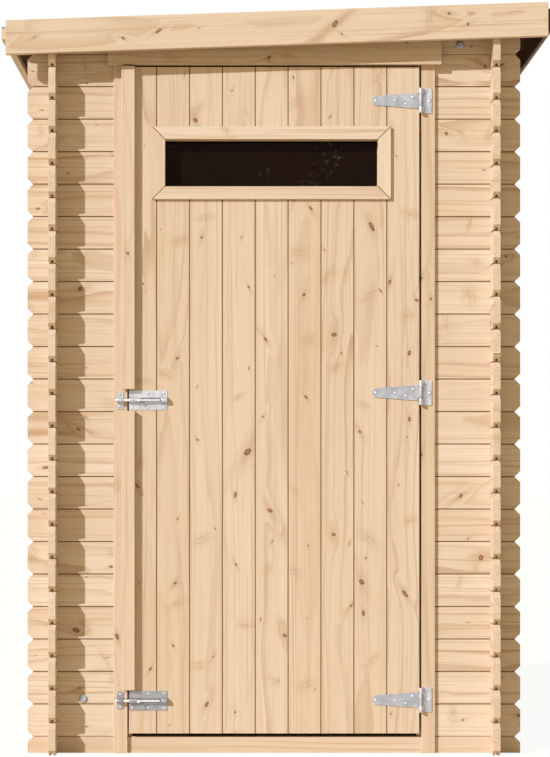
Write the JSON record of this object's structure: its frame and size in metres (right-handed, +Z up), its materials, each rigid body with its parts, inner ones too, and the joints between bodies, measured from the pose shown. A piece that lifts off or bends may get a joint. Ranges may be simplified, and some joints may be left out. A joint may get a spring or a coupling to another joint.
{
  "type": "storage shed",
  "caption": "Small log-wall garden tool shed with a pent roof, crossing log corners and a boarded door with a narrow window.",
  "frame": {"origin": "ground level, under the middle of the roof outline", "axes": "+Z up, the door faces -Y, +X to the right when facing the door"},
  "size_m": [1.475, 0.97, 2.0144],
  "materials": {
    "planed_pine": "bare planed softwood",
    "sawn_pine": "bare sawn softwood",
    "galvanised_steel": "zinc plated",
    "roof_felt": "mineral felt",
    "window_glass": "clear, dark inside"
  },
  "bodies": {
    "shed": {"front_sill_log": "planed_pine", "front_wall_left": "planed_pine", "front_wall_right": "planed_pine", "front_wall_head": "planed_pine", "back_wall": "planed_pine", "left_wall": "planed_pine", "right_wall": "planed_pine", "left_jamb": "planed_pine", "right_jamb": "planed_pine", "frame_head": "planed_pine", "lintel_board": "planed_pine", "roof_purlin": "sawn_pine", "roof_boards": "sawn_pine", "roof_felt": "roof_felt", "front_fascia": "planed_pine", "back_fascia": "planed_pine", "left_eave_board": "planed_pine", "right_eave_board": "planed_pine", "floor_bearers": "sawn_pine", "floor_boards": "sawn_pine", "hinge_plate_top": "galvanised_steel", "hinge_plate_middle": "galvanised_steel", "hinge_plate_bottom": "galvanised_steel", "keeper_upper": "galvanised_steel", "keeper_lower": "galvanised_steel", "coach_bolts": "galvanised_steel"},
    "door": {"door_boards": "planed_pine", "window_side_boards": "planed_pine", "door_ledges": "planed_pine", "cover_batten_upper": "planed_pine", "cover_batten_lower": "planed_pine", "window_trim_top": "planed_pine", "window_trim_bottom": "planed_pine", "window_trim_left": "planed_pine", "window_trim_right": "planed_pine", "window_frame_inner": "planed_pine", "window_glass": "window_glass", "hinge_strap_top": "galvanised_steel", "hinge_strap_middle": "galvanised_steel", "hinge_strap_bottom": "galvanised_steel", "bolt_housing_upper": "galvanised_steel", "bolt_housing_lower": "galvanised_steel"},
    "upper_bolt": {"bolt_rod_upper": "galvanised_steel"},
    "lower_bolt": {"bolt_rod_lower": "galvanised_steel"}
  },
  "joints": [
    {"name": "door_hinge", "type": "hinge", "parent": "shed", "child": "door", "pos_m": [0.3885, -0.424, 0.9742], "axis": [0, 0, 1], "range_deg": [0, 150]},
    {"name": "upper_bolt_slide", "type": "slide", "parent": "door", "child": "upper_bolt", "axis": [1, 0, 0], "range_m": [0, 0.05]},
    {"name": "lower_bolt_slide", "type": "slide", "parent": "door", "child": "lower_bolt", "axis": [1, 0, 0], "range_m": [0, 0.05]}
  ]
}
